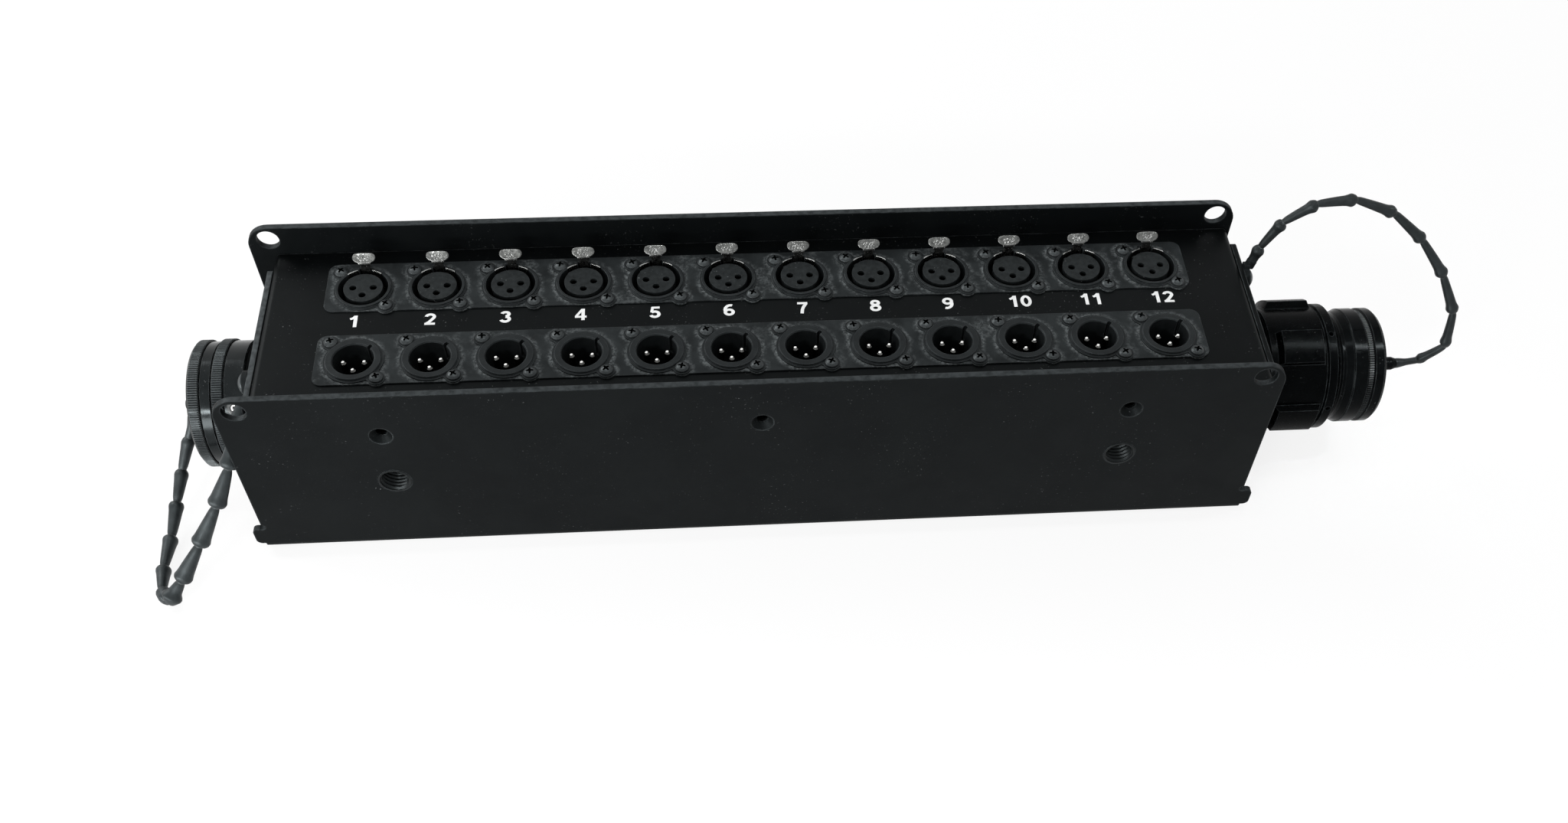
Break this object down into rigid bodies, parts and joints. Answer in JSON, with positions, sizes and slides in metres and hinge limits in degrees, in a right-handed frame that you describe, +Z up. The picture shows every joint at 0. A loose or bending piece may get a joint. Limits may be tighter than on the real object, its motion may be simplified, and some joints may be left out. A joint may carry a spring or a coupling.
{
  "type": "stage box snake",
  "caption": "Stage box: rows of latching and pin audio sockets in a recessed steel panel between side plates, a capped circular multipin at each end, rubber cap tethers.",
  "frame": {"origin": "middle of the underside of the bottom sheet, halfway between the ends and the side plates", "axes": "+X along the box towards the end with the ribbed coupling ring, +Y towards the row of latching sockets, +Z up, out of the connector panel"},
  "size_m": [0.5579, 0.1291, 0.1146],
  "materials": {
    "chassis_paint": "satin black powder coat",
    "panel_paint": "satin black powder coat",
    "pad_rubber": "matt black",
    "socket_shell": "satin black coated zinc",
    "grey_plastic": "dark grey, slightly glossy",
    "black_plastic": "black glass filled plastic",
    "nickel_contact": "bright nickel plate",
    "dark_contact": "tarnished copper alloy",
    "silver_pin": "silver plate, bright at the tip",
    "latch_nickel": "bright nickel plate",
    "black_screw": "glossy black oxide",
    "nickel_steel": "nickel plated steel",
    "dark_steel": "dark zinc plated steel",
    "gold_contact": "gold plated",
    "dark_metal": "black anodised",
    "dark_aluminium": "black anodised, turned and knurled",
    "black_aluminium": "black anodised, satin",
    "black_rubber": "matt black rubber",
    "cable_jacket": "matt black jacket"
  },
  "bodies": {
    "chassis": {"side_channel": "chassis_paint", "connector_panel": "panel_paint", "left_end_plate": "panel_paint", "right_end_plate": "panel_paint", "end_plate_screws": "nickel_steel", "threaded_inserts": "dark_steel", "rear_pad": "pad_rubber", "front_pad": "pad_rubber", "female_shells": "socket_shell", "female_inserts": "grey_plastic", "female_contacts": "dark_contact", "rim_springs": "nickel_contact", "male_shells": "socket_shell", "male_inserts": "black_plastic", "male_pins": "silver_pin", "socket_screws": "black_screw", "left_shell": "dark_metal", "left_gasket": "black_rubber", "left_nut": "nickel_steel", "left_insert": "black_plastic", "left_pins": "gold_contact", "left_clip": "nickel_steel", "left_lug": "black_rubber", "left_lug_screw": "black_screw", "left_tether": "black_rubber", "right_shell": "dark_metal", "right_gasket": "black_rubber", "right_nut": "nickel_steel", "right_insert": "black_plastic", "right_sockets": "gold_contact", "right_clip": "nickel_steel", "right_lug": "black_rubber", "right_lug_screw": "black_screw", "right_tether": "black_rubber", "wiring_loom": "cable_jacket", "ground_stud": "nickel_steel"},
    "latch_01": {"latch_01": "latch_nickel"},
    "latch_02": {"latch_02": "latch_nickel"},
    "latch_03": {"latch_03": "latch_nickel"},
    "latch_04": {"latch_04": "latch_nickel"},
    "latch_05": {"latch_05": "latch_nickel"},
    "latch_06": {"latch_06": "latch_nickel"},
    "latch_07": {"latch_07": "latch_nickel"},
    "latch_08": {"latch_08": "latch_nickel"},
    "latch_09": {"latch_09": "latch_nickel"},
    "latch_10": {"latch_10": "latch_nickel"},
    "latch_11": {"latch_11": "latch_nickel"},
    "latch_12": {"latch_12": "latch_nickel"},
    "left_ring": {"left_ring": "dark_aluminium", "left_set_screw": "nickel_steel"},
    "left_knob": {"left_knob": "black_rubber"},
    "left_cap": {"left_cap": "dark_aluminium", "left_seal": "black_rubber"},
    "right_ring": {"right_ring": "black_plastic"},
    "right_knob": {"right_knob": "black_plastic"},
    "right_cap": {"right_cap": "black_aluminium", "right_seal": "black_rubber"}
  },
  "joints": [
    {"name": "latch_01_press", "type": "slide", "parent": "chassis", "child": "latch_01", "axis": [0, 0, -1], "range_m": [0, 0.002], "stiffness_N_per_m": 500},
    {"name": "latch_02_press", "type": "slide", "parent": "chassis", "child": "latch_02", "axis": [0, 0, -1], "range_m": [0, 0.002], "stiffness_N_per_m": 500},
    {"name": "latch_03_press", "type": "slide", "parent": "chassis", "child": "latch_03", "axis": [0, 0, -1], "range_m": [0, 0.002], "stiffness_N_per_m": 500},
    {"name": "latch_04_press", "type": "slide", "parent": "chassis", "child": "latch_04", "axis": [0, 0, -1], "range_m": [0, 0.002], "stiffness_N_per_m": 500},
    {"name": "latch_05_press", "type": "slide", "parent": "chassis", "child": "latch_05", "axis": [0, 0, -1], "range_m": [0, 0.002], "stiffness_N_per_m": 500},
    {"name": "latch_06_press", "type": "slide", "parent": "chassis", "child": "latch_06", "axis": [0, 0, -1], "range_m": [0, 0.002], "stiffness_N_per_m": 500},
    {"name": "latch_07_press", "type": "slide", "parent": "chassis", "child": "latch_07", "axis": [0, 0, -1], "range_m": [0, 0.002], "stiffness_N_per_m": 500},
    {"name": "latch_08_press", "type": "slide", "parent": "chassis", "child": "latch_08", "axis": [0, 0, -1], "range_m": [0, 0.002], "stiffness_N_per_m": 500},
    {"name": "latch_09_press", "type": "slide", "parent": "chassis", "child": "latch_09", "axis": [0, 0, -1], "range_m": [0, 0.002], "stiffness_N_per_m": 500},
    {"name": "latch_10_press", "type": "slide", "parent": "chassis", "child": "latch_10", "axis": [0, 0, -1], "range_m": [0, 0.002], "stiffness_N_per_m": 500},
    {"name": "latch_11_press", "type": "slide", "parent": "chassis", "child": "latch_11", "axis": [0, 0, -1], "range_m": [0, 0.002], "stiffness_N_per_m": 500},
    {"name": "latch_12_press", "type": "slide", "parent": "chassis", "child": "latch_12", "axis": [0, 0, -1], "range_m": [0, 0.002], "stiffness_N_per_m": 500},
    {"name": "left_ring_turn", "type": "hinge", "parent": "chassis", "child": "left_ring", "pos_m": [-0.2022, 0, 0.0387], "axis": [-1, 0, 0], "continuous": true},
    {"name": "left_cap_pull", "type": "slide", "parent": "chassis", "child": "left_knob", "axis": [-1, 0, 0], "range_m": [0, 0.045], "deforming": ["left_tether"]},
    {"name": "left_cap_turn", "type": "hinge", "parent": "left_knob", "child": "left_cap", "pos_m": [-0.2324, 0, 0.0387], "axis": [-1, 0, 0], "continuous": true},
    {"name": "right_ring_turn", "type": "hinge", "parent": "chassis", "child": "right_ring", "pos_m": [0.2102, 0, 0.0387], "axis": [1, 0, 0], "continuous": true},
    {"name": "right_cap_pull", "type": "slide", "parent": "chassis", "child": "right_knob", "axis": [1, 0, 0], "range_m": [0, 0.045], "deforming": ["right_tether"]},
    {"name": "right_cap_turn", "type": "hinge", "parent": "right_knob", "child": "right_cap", "pos_m": [0.2699, 0, 0.0387], "axis": [1, 0, 0], "continuous": true}
  ]
}
